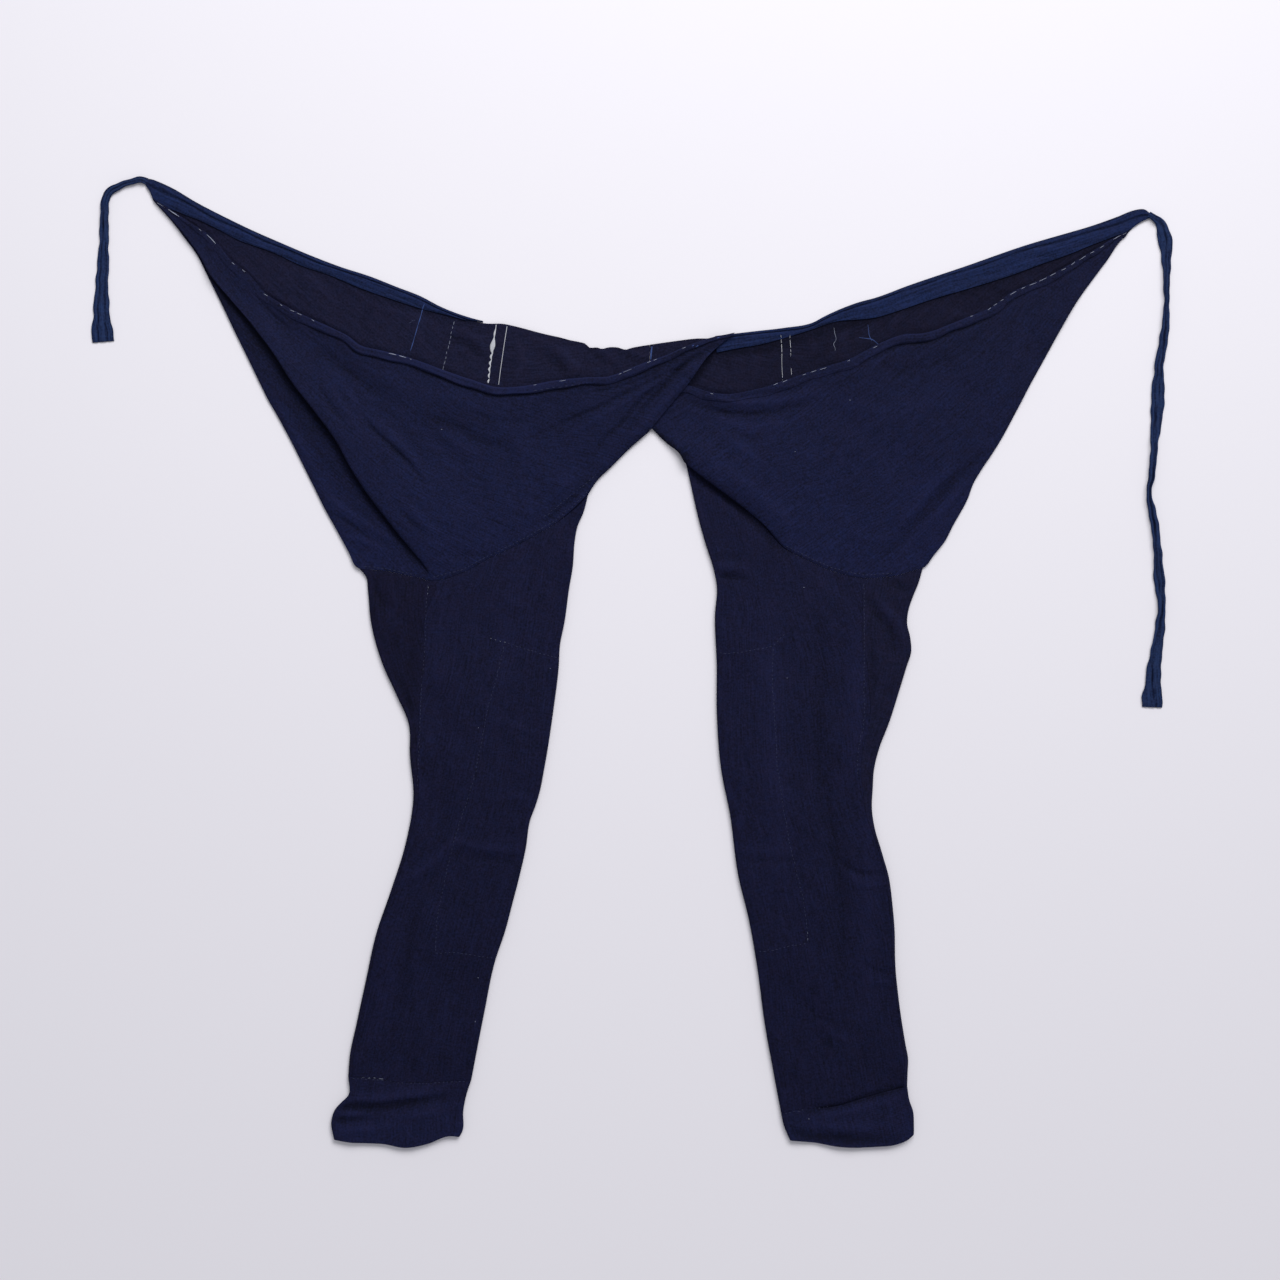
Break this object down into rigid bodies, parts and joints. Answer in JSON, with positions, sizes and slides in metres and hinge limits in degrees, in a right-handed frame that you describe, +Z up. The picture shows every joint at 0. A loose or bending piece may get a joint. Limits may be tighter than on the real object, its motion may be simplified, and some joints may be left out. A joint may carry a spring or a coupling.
{
  "type": "momohiki work pants laid flat",
  "caption": "Indigo cotton wrap work pants laid flat: wide hips with crossed fronts, waistband and ties, narrow legs with turned cuffs.",
  "frame": {"origin": "middle of the footprint, on the surface the garment lies on", "axes": "+X to the right and +Y towards the waist as seen from above, +Z up from the surface; -Y is towards the hems"},
  "size_m": [1.2089, 1.088, 0.0105],
  "materials": {
    "indigo_body": "matt plain-woven cotton, deep indigo",
    "indigo_inside": "matt plain-woven cotton, inside face, dark indigo",
    "indigo_band": "matt thin cotton, lighter blue"
  },
  "bodies": {
    "root": {"hip_back_left": "indigo_inside", "hip_front_left": "indigo_body", "front_hem_left": "indigo_body", "leg_front_left": "indigo_body", "leg_side_left": "indigo_body", "cuff_left": "indigo_body", "waistband_left": "indigo_band", "tie_left": "indigo_band", "hip_back_right": "indigo_inside", "hip_front_right": "indigo_body", "front_hem_right": "indigo_body", "leg_front_right": "indigo_body", "leg_side_right": "indigo_body", "cuff_right": "indigo_body", "waistband_right": "indigo_band", "tie_right": "indigo_band"}
  },
  "joints": []
}
